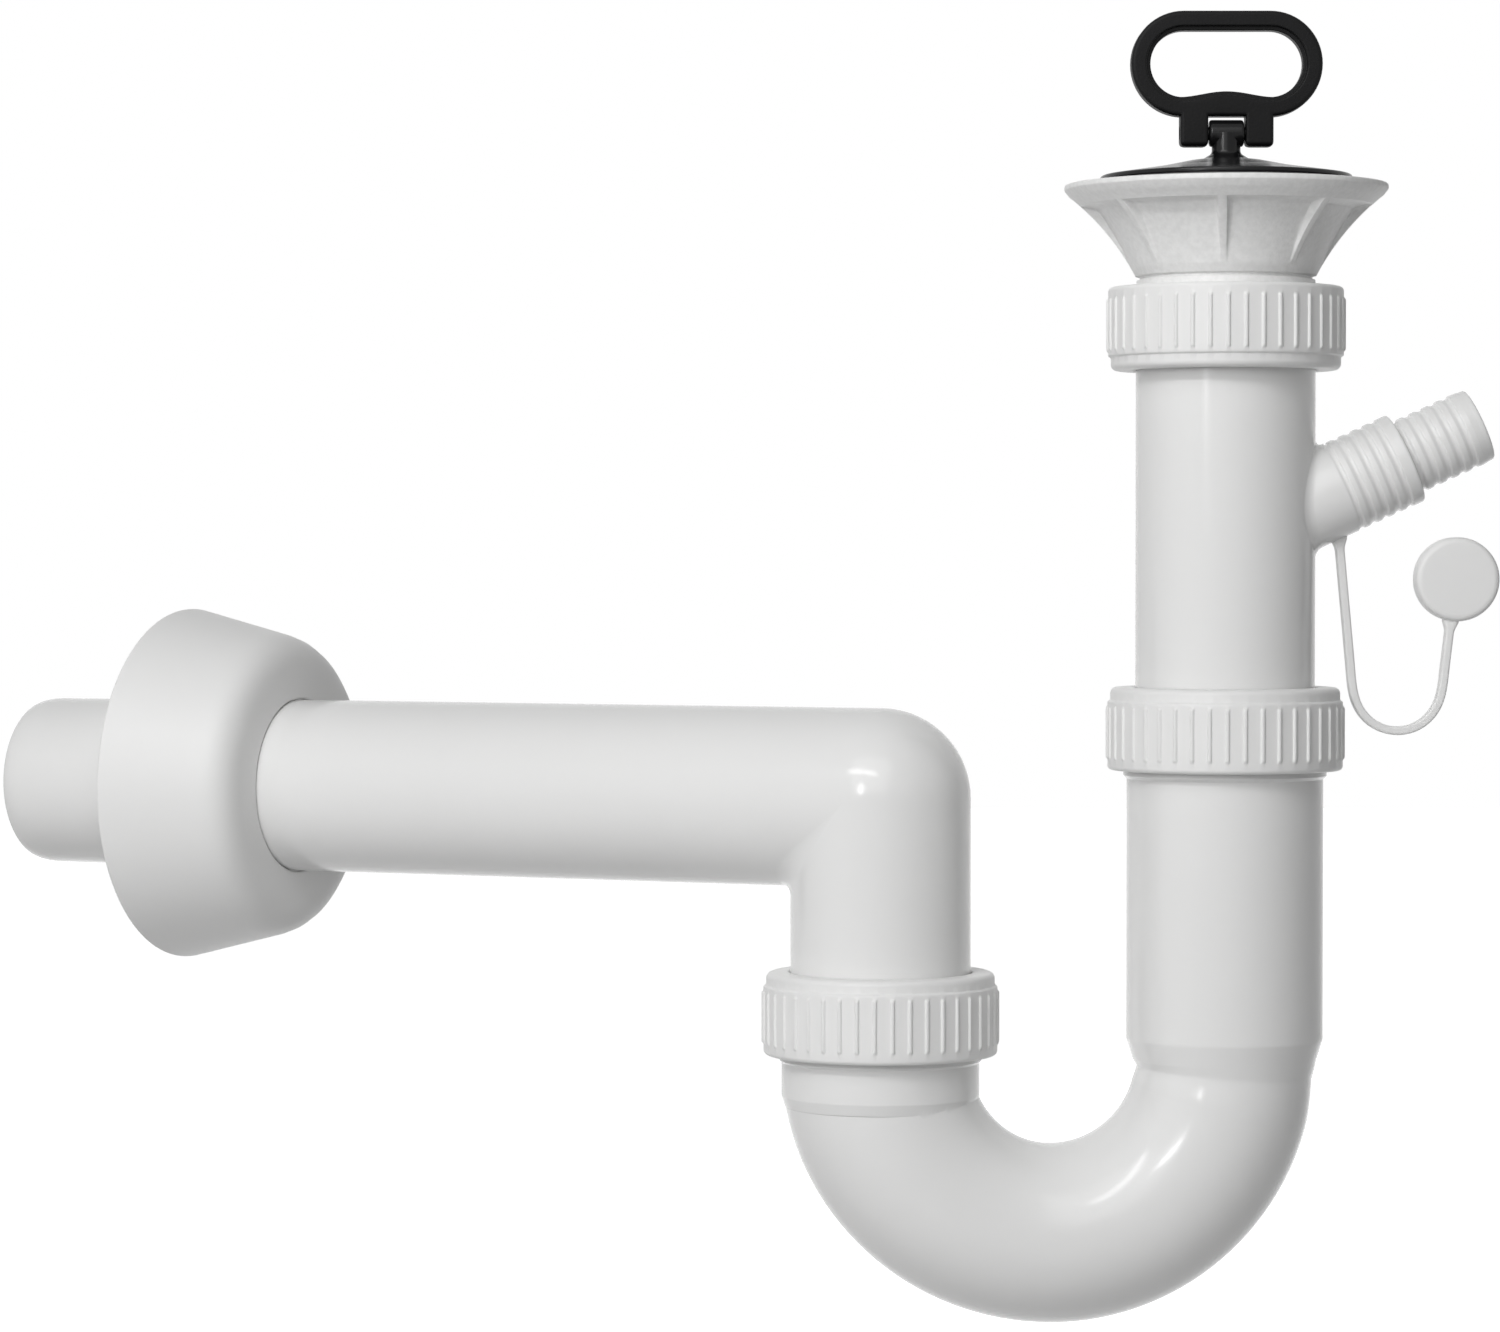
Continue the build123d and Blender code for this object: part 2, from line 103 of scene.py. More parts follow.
def arc(first, middle, last, steps):
    """Points on the circle through three points."""
    a, b, c = Vector(first), Vector(middle), Vector(last)
    ab, ac = b - a, c - a
    d = 2 * (ab.x * ac.y - ab.y * ac.x)
    centre = a + Vector((
        (ac.y * ab.length_squared - ab.y * ac.length_squared) / d,
        (ab.x * ac.length_squared - ac.x * ab.length_squared) / d,
    ))
    start = math.atan2(a.y - centre.y, a.x - centre.x)
    sweep = math.atan2(c.y - centre.y, c.x - centre.x) - start
    half = math.atan2(b.y - centre.y, b.x - centre.x) - start
    sweep = (sweep + math.pi) % (2 * math.pi) - math.pi
    half = (half + math.pi) % (2 * math.pi) - math.pi
    if half * sweep < 0:
        sweep -= math.copysign(2 * math.pi, sweep)
    radius = (a - centre).length
    angles = [start + sweep * step / steps for step in range(steps + 1)]
    return [centre + radius * Vector((math.cos(angle), math.sin(angle))) for angle in angles]


def height_to_radius(points):
    """Function giving the radius of an (r, z) curve at a height."""
    ordered = sorted(points, key=lambda point: point[1])

    def radius(z):
        for low, high in zip(ordered, ordered[1:]):
            if low[1] <= z <= high[1]:
                share = (z - low[1]) / max(high[1] - low[1], 1e-6)
                return low[0] + (high[0] - low[0]) * share
        return ordered[0][0] if z < ordered[0][1] else ordered[-1][0]

    return radius


def smooth_step(t):
    """Ease from 0 to 1."""
    t = min(max(t, 0.0), 1.0)
    return t * t * (3 - 2 * t)


def skin(name, rings, loop=True):
    """Closed mesh over rings of points: a loop joins the last ring to the first, else both are capped."""
    shape = bmesh.new()
    rows = [[shape.verts.new(Vector(point) * MM) for point in ring] for ring in rings]
    pairs = list(zip(rows, rows[1:]))
    if loop:
        pairs.append((rows[-1], rows[0]))
    for low, high in pairs:
        for number in range(len(low)):
            after = (number + 1) % len(low)
            shape.faces.new((low[number], low[after], high[after], high[number]))
    if not loop:
        shape.faces.new(rows[0])
        shape.faces.new(rows[-1])
    bmesh.ops.remove_doubles(shape, verts=shape.verts, dist=SAME_POINT)
    bmesh.ops.recalc_face_normals(shape, faces=shape.faces)
    mesh = bpy.data.meshes.new(name)
    shape.to_mesh(mesh)
    shape.free()
    piece = bpy.data.objects.new(name, mesh)
    bpy.context.scene.collection.objects.link(piece)
    return piece


def circle(radius, z, place, count=AROUND):
    """Ring of points about a placement's axis."""
    angles = [2 * math.pi * number / count for number in range(count)]
    return [place @ Vector((radius * math.cos(a), radius * math.sin(a), z)) for a in angles]


def lathe(name, outline, place=Matrix(), loop=True, count=AROUND):
    """Mesh turned from an (r, z) outline."""
    return skin(name, [circle(r, z, place, count) for r, z in outline], loop)


def merge(piece, other, kind):
    """Boolean of two pieces; the second is used up."""
    modifier = piece.modifiers.new(kind, "BOOLEAN")
    modifier.operation = kind
    modifier.solver = "EXACT"
    modifier.object = other
    bpy.context.view_layer.update()
    graph = bpy.context.evaluated_depsgraph_get()
    mesh = bpy.data.meshes.new_from_object(piece.evaluated_get(graph))
    piece.modifiers.clear()
    used = (piece.data, other.data)
    piece.data = mesh
    bpy.data.objects.remove(other)
    for old in used:
        bpy.data.meshes.remove(old)


def finished(piece, body, slot, material, *nodes):
    """Clean, shade, paint and attach a piece; the nodes are the solids that it stands for."""
    shape = bmesh.new()
    shape.from_mesh(piece.data)
    bmesh.ops.remove_doubles(shape, verts=shape.verts, dist=WELD)
    bmesh.ops.dissolve_degenerate(shape, edges=shape.edges, dist=SLIVER)
    for face in shape.faces:
        face.smooth = True
    for edge in shape.edges:
        edge.smooth = len(edge.link_faces) != 2 or edge.calc_face_angle(0) < SHARP
    shape.to_mesh(piece.data)
    shape.free()
    weighted = piece.modifiers.new("even_shading", "WEIGHTED_NORMAL")
    weighted.keep_sharp = True
    piece.data.materials.clear()
    piece.data.materials.append(material)
    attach(piece, body)
    if nodes:
        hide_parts(*nodes)
    return piece


# Materials
NOISE_LOW, NOISE_HIGH = 0.2, 0.8  # range of the noise that is used
GRAIN_HEIGHT = 0.0002
WHITE = (0.79, 0.79, 0.785), (0.80, 0.80, 0.795)


def surface(name, dark, light, patch, rough, grain, depth, metallic=0.0, specular=0.5):
    """Moulded or metal surface: soft patches of tone, uneven gloss and a fine grain.

    The patch and grain are noise scales, rough is the range of roughness and depth the strength of the bump.
    """
    material = bpy.data.materials.new(name)
    material.use_nodes = True
    nodes, links = material.node_tree.nodes, material.node_tree.links
    shader = nodes["Principled BSDF"]
    shader.inputs["Metallic"].default_value = metallic
    shader.inputs["Specular IOR Level"].default_value = specular
    place = nodes.new("ShaderNodeTexCoord")
    cloud = nodes.new("ShaderNodeTexNoise")
    cloud.inputs["Scale"].default_value = patch
    cloud.inputs["Detail"].default_value = 2
    links.new(place.outputs["Object"], cloud.inputs["Vector"])
    tone = nodes.new("ShaderNodeValToRGB")
    tone.color_ramp.interpolation = "EASE"
    tone.color_ramp.elements[0].position = NOISE_LOW
    tone.color_ramp.elements[1].position = NOISE_HIGH
    tone.color_ramp.elements[0].color = (*dark, 1)
    tone.color_ramp.elements[1].color = (*light, 1)
    links.new(cloud.outputs["Fac"], tone.inputs["Fac"])
    links.new(tone.outputs["Color"], shader.inputs["Base Color"])
    gloss = nodes.new("ShaderNodeMapRange")
    gloss.inputs["From Min"].default_value = NOISE_LOW
    gloss.inputs["From Max"].default_value = NOISE_HIGH
    gloss.inputs["To Min"].default_value = rough[0]
    gloss.inputs["To Max"].default_value = rough[1]
    links.new(cloud.outputs["Fac"], gloss.inputs["Value"])
    links.new(gloss.outputs["Result"], shader.inputs["Roughness"])
    fine = nodes.new("ShaderNodeTexNoise")
    fine.inputs["Scale"].default_value = grain
    fine.inputs["Detail"].default_value = 3
    links.new(place.outputs["Object"], fine.inputs["Vector"])
    bump = nodes.new("ShaderNodeBump")
    bump.inputs["Strength"].default_value = depth
    bump.inputs["Distance"].default_value = GRAIN_HEIGHT
    links.new(fine.outputs["Fac"], bump.inputs["Height"])
    links.new(bump.outputs["Normal"], shader.inputs["Normal"])
    return material


white = surface("white_plastic", *WHITE, 30, (0.15, 0.19), 240, 0.02, specular=0.3)
satin = surface("satin_plastic", *WHITE, 30, (0.42, 0.46), 240, 0.02, specular=0.35)
grained = surface("grained_plastic", (0.77, 0.77, 0.765), (0.85, 0.85, 0.845), 700, (0.42, 0.55), 1500, 0.3)
black_gloss = surface(
    "black_gloss", (0.005, 0.005, 0.0055), (0.008, 0.008, 0.0085), 70, (0.2, 0.28), 1200, 0.06, specular=0.2
)
black_satin = surface(
    "black_satin", (0.003, 0.003, 0.0032), (0.006, 0.006, 0.0064), 90, (0.4, 0.52), 1800, 0.2, specular=0.12
)
rubber = surface("rubber", (0.020, 0.020, 0.021), (0.034, 0.034, 0.035), 120, (0.6, 0.75), 1500, 0.3)
steel = surface("steel", (0.50, 0.50, 0.51), (0.62, 0.62, 0.63), 160, (0.22, 0.36), 2200, 0.1, metallic=1.0)
brass = surface("brass", (0.62, 0.44, 0.19), (0.72, 0.53, 0.25), 160, (0.25, 0.38), 2200, 0.1, metallic=1.0)

# Solids of the part that are shown as they are
for name, material in (
    ("screw_insert", brass),
    ("sink_gasket", rubber),
    ("strainer_dish", steel),
    ("strainer_screw", steel),
    ("top_gasket", rubber),
    ("middle_seal", rubber),
    ("outlet_seal", rubber),
    ("plug_seal", rubber),
):
    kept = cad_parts[name]
    kept.data.materials.clear()
    kept.data.materials.append(material)


# Funnel with its gussets
def funnel():
    """Ribbed funnel: trumpet curve on the gussets, pocket curve between them."""
    pocket_top, pocket_foot = -5.0, -18.5
    trumpet = arc((RIM_RADIUS, -1.6), (27.4, -9.6), (20.1, -20.3), 24)
    pocket = arc((28.9, pocket_top), (24.4, -11.5), (21.1, pocket_foot), 20)
    on_rib, in_pocket = height_to_radius(trumpet), height_to_radius(pocket)
    # Section of a gusset: places across it, and how far each stands out of the pocket
    rib_offsets = (-1.6, -1.1, -0.9, -0.75, -0.6, -0.3, 0.0, 0.3, 0.6, 0.75, 0.9, 1.1, 1.6)
    rib_shares = (0.0, 0.04, 0.2, 0.7, 0.96, 1.0, 1.0, 1.0, 0.96, 0.7, 0.2, 0.04, 0.0)
    gaps = 12  # points in each pocket
    top_draft = 0.5  # how much wider a gusset is at its top

    def row(z, radius, deep):
        """Ring at a height, with one radius on the gussets and another in the pockets."""
        points = []
        pitch = 2 * math.pi / GUSSETS
        draft = 1.0 + top_draft * smooth_step((z - pocket_foot) / (pocket_top - pocket_foot))
        for number in range(GUSSETS):
            centre = GUSSET_TURN + number * pitch
            edge = draft * rib_offsets[-1] / radius
            spots = [(draft * offset / radius, share) for offset, share in zip(rib_offsets, rib_shares)]
            span = pitch - 2 * edge
            spots += [(edge + span * (step + 1) / (gaps + 1), 0.0) for step in range(gaps)]
            for offset, share in spots:
                r = radius + (deep - radius) * (1 - share)
                angle = centre + offset
                points.append((r * math.cos(angle), r * math.sin(angle), z))
        return points

    rim = rounded((
        (33.3, -1.8), (33.3, 0.0, 0.3), (RIM_RADIUS, 0.0, 0.5), (RIM_RADIUS, -1.2, 0.6), (34.8, -2.2),
    ))
    rings = [row(z, r, r) for r, z in rim[:-1]]
    for z in (-2.4, -2.9, -3.4, -3.9, -4.4):
        rings.append(row(z, on_rib(z), on_rib(z)))
    # Rounded ledge from the edge down into the pockets
    ledge, ledge_drop = -4.6, 1.2
    ledge_radius, floor_radius = on_rib(ledge), in_pocket(ledge - ledge_drop)
    for share in (0.0, 0.06, 0.2, 0.4, 0.6, 0.8, 0.94, 1.0):
        turn = math.pi * share / 2
        z = ledge - ledge_drop * (1 - math.cos(turn))
        rings.append(row(z, on_rib(z), ledge_radius + (floor_radius - ledge_radius) * math.sin(turn)))
    first, rows_down, row_step = -6.2, 23, 0.55
    for z in (first - row_step * number for number in range(rows_down)):
        rings.append(row(z, on_rib(z), min(on_rib(z), in_pocket(z))))
    for z in (-18.6, -19.2, -19.8, -20.25):
        rings.append(row(z, on_rib(z), on_rib(z)))
    groove = (19.4, -20.4), (19.2, -20.6), (19.2, -20.95), (19.4, -21.15), (19.75, -21.2), (19.9, -21.4)
    collar = (19.9, -23.6), (20.2, -23.9), (23.2, -23.9), (23.45, -24.2), (23.45, -33.4), (23.1, -33.8)
    inside = (17.8, -33.8), (17.5, -33.5), (17.5, -18.5), (22.6, -11.5), (26.8, -5.0), (30.2, -1.8)
    rings += [row(z, r, r) for r, z in (*groove, *collar, *inside)]
    return skin("funnel", rings)


shell = funnel()
finished(shell, "waste", "white_plastic", grained, "waste_body")
hub_outline = rounded((
    (HUB_BORE, HUB_TOP), (HUB_RADIUS, HUB_TOP, 0.4), (HUB_RADIUS, HUB_FOOT, 0.6), (HUB_BORE, HUB_FOOT),
))
hub = lathe("funnel_hub", hub_outline, count=48)
spoke_half, spoke_top, spoke_ends = 1.2, -14.0, (4.5, 18.2)
for number in range(SPOKES):
    turn = Matrix.Rotation(2 * math.pi * number / SPOKES, 4, "Z")
    section = rounded((
        (-spoke_half, spoke_top, 0.4), (spoke_half, spoke_top, 0.4),
        (spoke_half, HUB_FOOT, 0.4), (-spoke_half, HUB_FOOT, 0.4),
    ))
    spoke = skin("spoke", [[turn @ Vector((x, y, z)) for y, z in section] for x in spoke_ends], loop=False)
    merge(hub, spoke, "UNION")
finished(hub, "waste", "white_plastic", white)


# Ribbed nuts
def slip_nut(name, place):
    """Nut with moulded ribs; local z runs from its closed face to its open end."""
    # Section of a rib: places across it, and how far each stands out
    offsets = (-0.85, -0.55, -0.42, -0.3, -0.15, 0.0, 0.15, 0.3, 0.42, 0.55, 0.85)
    shares = (0.0, 0.08, 0.45, 0.86, 0.98, 1.0, 0.98, 0.86, 0.45, 0.08, 0.0)
    # Outline as radius, height and share of the rib at that height
    outline = [(r, z, 0.0) for r, z in ((NUT_HOLE, 0.3), (NUT_HOLE + 0.3, 0.0), (24.0, 0.0))]
    for step in range(1, NUT_ROUND_STEPS + 1):
        bend = math.pi / 2 * step / NUT_ROUND_STEPS
        out = NUT_BAND - NUT_FACE_ROUND + NUT_FACE_ROUND * math.sin(bend)
        outline.append((out, NUT_FACE_ROUND - NUT_FACE_ROUND * math.cos(bend), 0.0))
    outline += [
        (NUT_BAND, 2.7, 0.0), (NUT_BAND + 0.15, 2.95, 0.0), (NUT_RADIUS - 0.15, 3.1, 0.0),
        (NUT_RADIUS, 3.3, 0.0), (NUT_RADIUS, 3.9, 0.0), (NUT_RADIUS, 4.2, 0.35), (NUT_RADIUS, 4.45, 0.85),
        (NUT_RADIUS, 4.8, 1.0), (NUT_RADIUS, 15.3, 1.0), (NUT_RADIUS, 15.7, 0.85), (NUT_RADIUS, 16.0, 0.35),
        (NUT_RADIUS, 16.3, 0.0),
    ]
    for step in range(NUT_ROUND_STEPS + 1):
        bend = math.pi / 2 * step / NUT_ROUND_STEPS
        out = NUT_RADIUS - NUT_EDGE_ROUND + NUT_EDGE_ROUND * math.cos(bend)
        outline.append((out, NUT_HEIGHT - NUT_EDGE_ROUND + NUT_EDGE_ROUND * math.sin(bend), 0.0))
    outline += [
        (NUT_BORE + 0.4, NUT_HEIGHT, 0.0), (NUT_BORE, NUT_HEIGHT - 0.4, 0.0),
        (NUT_BORE, NUT_FLOOR + 0.2, 0.0), (NUT_BORE - 0.2, NUT_FLOOR, 0.0), (NUT_HOLE, NUT_FLOOR, 0.0),
    ]
    rings = []
    pitch = 2 * math.pi / NUT_RIBS
    for r, z, rib in outline:
        ring = []
        for number in range(NUT_RIBS):
            for offset, share in zip(offsets, shares):
                angle = number * pitch + offset / NUT_RADIUS
                out = r + NUT_RIB_HEIGHT * rib * share
                ring.append(place @ Vector((out * math.cos(angle), out * math.sin(angle), z)))
        rings.append(ring)
    return skin(name, rings)


for name, node, body, place in (
    ("top_slip_nut", "top_nut", "upper_nut", axis((0, 0, TOP_NUT), (0, 0, 1))),
    ("middle_slip_nut", "middle_nut", "inlet_nut", axis((0, 0, MIDDLE_NUT), (0, 0, -1))),
    ("outlet_slip_nut", "outlet_nut", "leg_nut", axis((LEG_X, 0, OUTLET_NUT), (0, 0, -1))),
):
    finished(slip_nut(name, place), body, "white_plastic", satin, node)


# Tailpiece with the ringed hose branch
def branch_rings():
    """Rings of the branch from its root in the pipe wall to its tip and back down its bore."""
    along = Vector((math.cos(BRANCH_TILT), 0, math.sin(BRANCH_TILT)))
    upward = Vector((-math.sin(BRANCH_TILT), 0, math.cos(BRANCH_TILT)))
    origin = Vector((0, 0, BRANCH_HEIGHT))
    angles = [2 * math.pi * number / AROUND for number in range(AROUND)]
    fillet, fillet_steps = 2.0, 6
    dip = 0.42  # depth of the grooves between the rings
    neck = 8.0  # radius at the step between the two thicknesses
    soft = 0.8  # rounding of the rings

    def spot(radius, t, angle):
        """Point round the branch at a distance along it."""
        across = Vector((0, radius * math.sin(angle), 0))
        return origin + along * t + upward * radius * math.cos(angle) + across

    def meet(radius, angle, pipe):
        """Distance along the branch at which it meets a pipe of a radius."""
        y = radius * math.sin(angle)
        reach = math.sqrt(pipe * pipe - y * y) + radius * math.cos(angle) * math.sin(BRANCH_TILT)
        return reach / math.cos(BRANCH_TILT)

    def root(radius, pipe):
        """Ring of the branch on a pipe of a radius."""
        return [spot(radius, meet(radius, angle, pipe), angle) for angle in angles]

    wide = BRANCH_RADIUS + fillet
    rings = [root(BRANCH_BORE, 18.6), root(wide, 18.9)]
    for step in range(fillet_steps + 1):
        t = step / fillet_steps
        ring = []
        for angle in angles:
            a = spot(wide, meet(wide, angle, PIPE - 0.06), angle)
            foot = meet(BRANCH_RADIUS, angle, PIPE)
            b = spot(BRANCH_RADIUS, foot, angle)
            c = spot(BRANCH_RADIUS, foot + fillet, angle)
            ring.append(a * (1 - t) ** 2 + b * 2 * t * (1 - t) + c * t * t)
        rings.append(ring)
    corners = [(BRANCH_RADIUS, 27.875)]
    for radius, start, pitch, count, first in (
        (BRANCH_RADIUS, 26.4, 2.95, 6, 1),
        (BRANCH_THIN, 45.6, 3.1, 5, 0),
    ):
        for number in range(count):
            foot = start + number * pitch
            if number >= first:
                corners += [(radius, foot + 0.05 * pitch, soft), (radius, foot + 0.45 * pitch, soft)]
            corners += [(radius - dip, foot + 0.72 * pitch, soft), (radius - dip, foot + 0.95 * pitch, soft)]
        if first:
            corners[-2:] = [(radius, foot + pitch, 0.7), (neck, foot + pitch + 0.35, 0.4), (neck, 45.3, 0.3)]
    lip = [(8.4, 60.9, 0.4), (8.3, 62.2, 0.7), (BRANCH_BORE, 62.2, 0.5), (BRANCH_BORE, 30.0)]
    corners = corners[:-2] + lip
    rings += [[spot(r, t, angle) for angle in angles] for r, t in rounded(corners)]
    return rings


tail_outline = rounded((
    (BORE, -35.8), (23.2, -35.8, 0.4), (23.2, -38.3, 0.4),
    (PIPE, -38.3, 0.4), (PIPE, -187.0, 0.6), (BORE, -187.0, 0.4),
))
tail = lathe("tailpiece_pipe", tail_outline)
merge(tail, skin("branch", branch_rings()), "UNION")
bore_place = axis((0, 0, BRANCH_HEIGHT), (math.cos(BRANCH_TILT), 0, math.sin(BRANCH_TILT)))
merge(tail, lathe("bore", ((BRANCH_BORE, 8.0), (BRANCH_BORE, 40.0)), bore_place, loop=False), "DIFFERENCE")
finished(tail, "tail", "white_plastic", white, "tailpiece")


# Cap on its strap
def strap_path():
    """Middle line of the strap, with the joins of its runs and arc smoothed."""
    left_steps, bow_steps, right_steps, smoothings = 45, 40, 20, 30
    points = [STRAP_ROOT.lerp(STRAP_LEFT, step / left_steps) for step in range(left_steps)]
    points += arc(STRAP_LEFT, STRAP_BOTTOM, STRAP_RIGHT, bow_steps)
    points += [STRAP_RIGHT.lerp(STRAP_CAP, step / right_steps) for step in range(1, right_steps + 1)]
    for _ in range(smoothings):
        inner = [(a + 2 * b + c) / 4 for a, b, c in zip(points, points[1:], points[2:])]
        points = [points[0], *inner, points[-1]]
    return points


path = strap_path()
strap_half, strap_side, strap_round = 0.95, 1.8, 0.6
section = rounded((
    (-strap_half, -strap_side, strap_round), (strap_half, -strap_side, strap_round),
    (strap_half, strap_side, strap_round), (-strap_half, strap_side, strap_round),
))
hidden_root, hidden_cap = 3.2, 1.6  # lengths at full flare, which lie inside the branch and the cap
flare_gain, flare_length = 0.9, 3.0
strap_rings = []
for number, point in enumerate(path):
    before, after = path[max(number - 1, 0)], path[min(number + 1, len(path) - 1)]
    side = (after - before).normalized().orthogonal()
    from_ends = min((point - path[0]).length - hidden_root, (point - path[-1]).length - hidden_cap)
    flare = 1 + flare_gain * (1 - smooth_step(from_ends / flare_length))
    strap_rings.append([(point.x + side.x * n * flare, y, point.y + side.y * n * flare) for n, y in section])
cap = lathe(
    "hose_cap_strap",
    rounded((
        (0.4, 3.0), (CAP_RADIUS, 3.0, 1.6), (CAP_RADIUS, -3.0, 0.4),
        (CAP_BORE, -3.0, 0.2), (CAP_BORE, 1.4, 0.4), (0.4, 1.4),
    )),
    axis(CAP_CENTRE, (0, -1, 0)),
    loop=False,
    count=96,
)
merge(cap, skin("strap", strap_rings, loop=False), "UNION")
finished(cap, "tail", "white_plastic", satin, "hose_cap")


# U-bend
def around_bend(radius, height=None, turn=0.0):
    """Ring about the leg above the bend, or about the bend's own line."""
    out = Vector((math.cos(turn), 0, -math.sin(turn)))
    centre = Vector((-BEND_RADIUS, 0, BEND_HEIGHT)) + out * BEND_RADIUS
    if height is not None:
        centre.z = height
    angles = [2 * math.pi * number / AROUND for number in range(AROUND)]
    return [centre + out * radius * math.cos(a) + Vector((0, radius * math.sin(a), 0)) for a in angles]


leg_outline = rounded((
    (22.5, INLET_RIM), (THREAD_ROOT, INLET_RIM, 0.1), (THREAD_ROOT, -131.7, 0.2),
    (LEG_OUTSIDE, -132.4, 0.3), (LEG_OUTSIDE, -189.4),
))
bend_rings = [around_bend(r, z) for r, z in leg_outline]


def bend_outside(down):
    """Outer radius at a distance down the line from the end of the long socket: cone, pipe, slow swell."""
    soft = 0.35  # half of the rounding at the ends of the cone
    cone_length, cone_slope = 7.5, 0.31
    radius = LEG_OUTSIDE
    for start, slope in ((0.0, -cone_slope), (cone_length, cone_slope)):
        t = down - start
        radius += slope * (0.0 if t < -soft else t if t > soft else (t + soft) ** 2 / (4 * soft))
    for swell, start, length in ((0.42, 7.8, 7.0), (1.2, 67.0, 55.0)):
        radius += swell * smooth_step((down - start) / length)
    return radius


def ring_down(down):
    """Ring of the bend's outside at a distance down its line."""
    straight = CONE_TOP - BEND_HEIGHT
    if down < straight:
        return around_bend(bend_outside(down), CONE_TOP - down)
    return around_bend(bend_outside(down), None, (down - straight) / BEND_RADIUS)


bend_end = CONE_TOP - BEND_HEIGHT + math.pi * BEND_RADIUS
fine_stops, bend_steps, bore_steps = 57, 60, 64
stops = [-0.9 + 0.3 * step for step in range(fine_stops)]
stops += [stops[-1] + (bend_end - stops[-1]) * step / bend_steps for step in range(1, bend_steps + 1)]
bend_rings += [ring_down(stop) for stop in stops]
bend_rings += [around_bend(BORE, None, math.pi * step / bore_steps) for step in range(bore_steps, -1, -1)]
leg_inside = (LEG_INSIDE, -189.5), (LEG_INSIDE, -121.0), (22.45, INLET_RIM - 0.1)
bend_rings += [around_bend(r, z) for r, z in leg_inside]
bend = skin("u_bend_pipe", bend_rings)
leg = axis((LEG_X, 0, 0), (0, 0, 1))
socket_outline = rounded((
    (22.5, OUTLET_RIM), (THREAD_ROOT, OUTLET_RIM, 0.1), (THREAD_ROOT, -195.4, 0.2),
    (22.15, -195.9, 0.3), (22.15, -203.4, 1.2), (21.3, -206.0, 0.4), (18.9, -206.0), (18.9, -202.0),
    (SOCKET_INSIDE, -202.0), (SOCKET_INSIDE, -184.7), (22.4, OUTLET_RIM - 0.1),
))
merge(bend, lathe("socket", socket_outline, leg), "UNION")
socket_bore = lathe("socket_bore", ((SOCKET_INSIDE, -203.0), (SOCKET_INSIDE, -180.0)), leg, loop=False)
merge(bend, socket_bore, "DIFFERENCE")
finished(bend, "trap", "white_plastic", white, "u_bend")


def thread(name, place, top):
    """Rounded helical thread that fades in and out at its ends."""
    half = (-0.25, 1.15), (0.0, 1.0), (0.62, 0.55), (0.8, 0.3)
    section = [(out, -up) for out, up in half] + list(reversed(half))
    per_turn, fade_steps = 96, 40
    rings = []
    count = int(per_turn * THREAD_TURNS)
    for step in range(count + 1):
        angle = 2 * math.pi * THREAD_TURNS * step / count
        fade = smooth_step(min(step, count - step) / fade_steps)
        z = top - THREAD_PITCH * THREAD_TURNS * step / count
        ring = []
        for out, up in section:
            r = THREAD_ROOT + out * (fade if out > 0 else 1)
            ring.append(place @ Vector((r * math.cos(angle), r * math.sin(angle), z + up)))
        rings.append(ring)
    return skin(name, rings, loop=False)


thread_start = 1.7  # below the rim
finished(thread("inlet_thread", Matrix(), INLET_RIM - thread_start), "trap", "white_plastic", white)
finished(thread("outlet_thread", leg, OUTLET_RIM - thread_start), "trap", "white_plastic", white)


# Outlet pipe with its ball-cornered elbow, and the rosette
def outlet_rings(radius, inner_round, flank_round, wall_end):
    """Rings from the wall end, through the elbow, to the foot, and the maker of more rings at the foot.

    The inner round is the corner's radius under the elbow, the flank round what is added on its sides.
    """
    down = Vector((0, 0, -1))
    side = RUN.cross(down)
    angles = [2 * math.pi * number / AROUND for number in range(AROUND)]

    def run_ring(r, a):
        return [ELBOW + RUN * a - down * r * math.cos(f) + side * r * math.sin(f) for f in angles]

    def riser_ring(r, b):
        return [ELBOW + down * b - RUN * r * math.cos(f) + side * r * math.sin(f) for f in angles]

    rings = [run_ring(r, a) for r, a in wall_end]
    near = radius + inner_round + 0.5
    rings += [run_ring(radius, a) for a in (150.0, 120.0, 90.0, 60.0, 40.0, near)]
    corner_steps = 16
    for step in range(corner_steps + 1):
        turn = math.pi / 2 * step / corner_steps
        back = down * math.cos(turn) + RUN * math.sin(turn)
        ring = []
        for f in angles:
            h = radius * abs(math.cos(f))
            corner = inner_round * abs(math.cos(f)) + flank_round * math.sin(2 * f) ** 2
            if math.cos(f) >= 0:
                centre = ELBOW - back * h
            else:
                centre = ELBOW + (RUN + down) * (h + corner) - back * corner
            ring.append(centre + side * radius * math.sin(f))
        rings.append(ring)
    rings += [riser_ring(radius, b) for b in (near, 40.0, 55.0)]
    return rings, riser_ring


end_steps, end_depth, end_round = 10, 5.5, 1.3  # elliptical rounding of the wall end
end_turns = [math.pi / 2 * step / end_steps for step in range(end_steps + 1)]
end_start, end_foot = 18.5, RUN_LENGTH - end_depth
wall_end = [(BORE + 0.1, RUN_LENGTH)]
wall_end += [(end_start + end_round * math.sin(t), end_foot + end_depth * math.cos(t)) for t in end_turns]
wall_end += [(19.8, 181.2), (RUN_PIPE, 180.8)]
outer, foot_ring = outlet_rings(RUN_PIPE, 1.8, 3.0, wall_end)
inner, _ = outlet_rings(BORE, 1.0, 0.0, ((BORE, RUN_LENGTH - 0.3), (BORE, 180.0)))
foot = (
    (RUN_PIPE, FOOT_LENGTH - 0.5), (19.8, FOOT_LENGTH),
    (BORE + 0.3, FOOT_LENGTH), (BORE, FOOT_LENGTH - 0.3),
)
rings = outer + [foot_ring(r, b) for r, b in foot] + inner[::-1]
